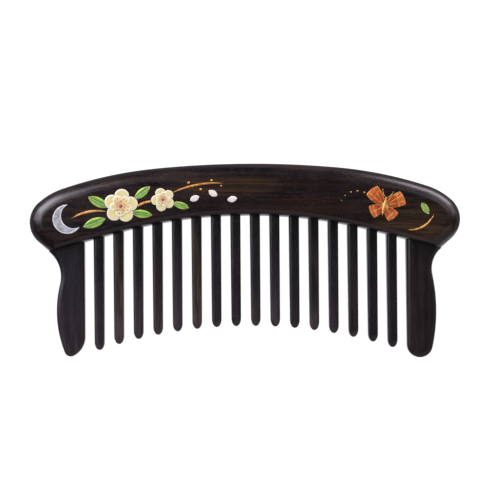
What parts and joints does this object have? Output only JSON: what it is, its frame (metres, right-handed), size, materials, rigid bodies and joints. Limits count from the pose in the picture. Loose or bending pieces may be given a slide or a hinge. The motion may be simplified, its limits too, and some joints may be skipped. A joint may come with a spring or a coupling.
{
  "type": "wide-tooth wooden comb",
  "caption": "Wide-tooth dark wood comb with an arched, full-round spine, broad guard teeth at the ends and raised blossom and butterfly inlays.",
  "frame": {"origin": "middle of the comb's length and height, on the flat back face that it lies on", "axes": "+X along the comb to the right as seen from the decorated front, +Y from the tooth tips to the crown of the arched spine, +Z from the back face to the front face"},
  "size_m": [0.158, 0.0718, 0.0113],
  "materials": {
    "spine_wood": "satin, fine grain along the spine",
    "dark_tooth_wood": "satin, fine grain along the tooth",
    "half_brown_tooth_wood": "satin, fine grain along the tooth",
    "brown_tooth_wood": "satin, fine grain along the tooth",
    "cream_enamel": "satin enamel, shaded from cream to yellow-green",
    "white_enamel": "satin enamel",
    "green_enamel": "satin enamel, shaded from green to yellow-green",
    "copper_enamel": "satin enamel, shaded from orange to bronze",
    "silver_enamel": "fine speckled silver-grey",
    "gold_line": "thin raised gold line, satin"
  },
  "bodies": {
    "root": {"spine": "spine_wood", "guard_tooth_left": "dark_tooth_wood", "guard_tooth_right": "half_brown_tooth_wood", "tooth_01": "dark_tooth_wood", "tooth_02": "brown_tooth_wood", "tooth_03": "dark_tooth_wood", "tooth_04": "half_brown_tooth_wood", "tooth_05": "dark_tooth_wood", "tooth_06": "brown_tooth_wood", "tooth_07": "dark_tooth_wood", "tooth_08": "dark_tooth_wood", "tooth_09": "dark_tooth_wood", "tooth_10": "dark_tooth_wood", "tooth_11": "dark_tooth_wood", "tooth_12": "half_brown_tooth_wood", "tooth_13": "dark_tooth_wood", "tooth_14": "half_brown_tooth_wood", "tooth_15": "dark_tooth_wood", "tooth_16": "dark_tooth_wood", "blossom_inlay_large": "cream_enamel", "blossom_inlay_small": "cream_enamel", "leaf_inlay_1": "green_enamel", "leaf_inlay_2": "green_enamel", "leaf_inlay_3": "green_enamel", "leaf_inlay_4": "green_enamel", "leaf_inlay_5": "green_enamel", "leaf_inlay_6": "green_enamel", "twig_inlay": "gold_line", "branch_inlay": "gold_line", "spray_inlay": "gold_line", "tendril_inlay": "gold_line", "petal_inlay_1": "white_enamel", "petal_inlay_2": "white_enamel", "petal_inlay_3": "white_enamel", "moon_inlay": "silver_enamel", "butterfly_inlay": "copper_enamel"}
  },
  "joints": []
}
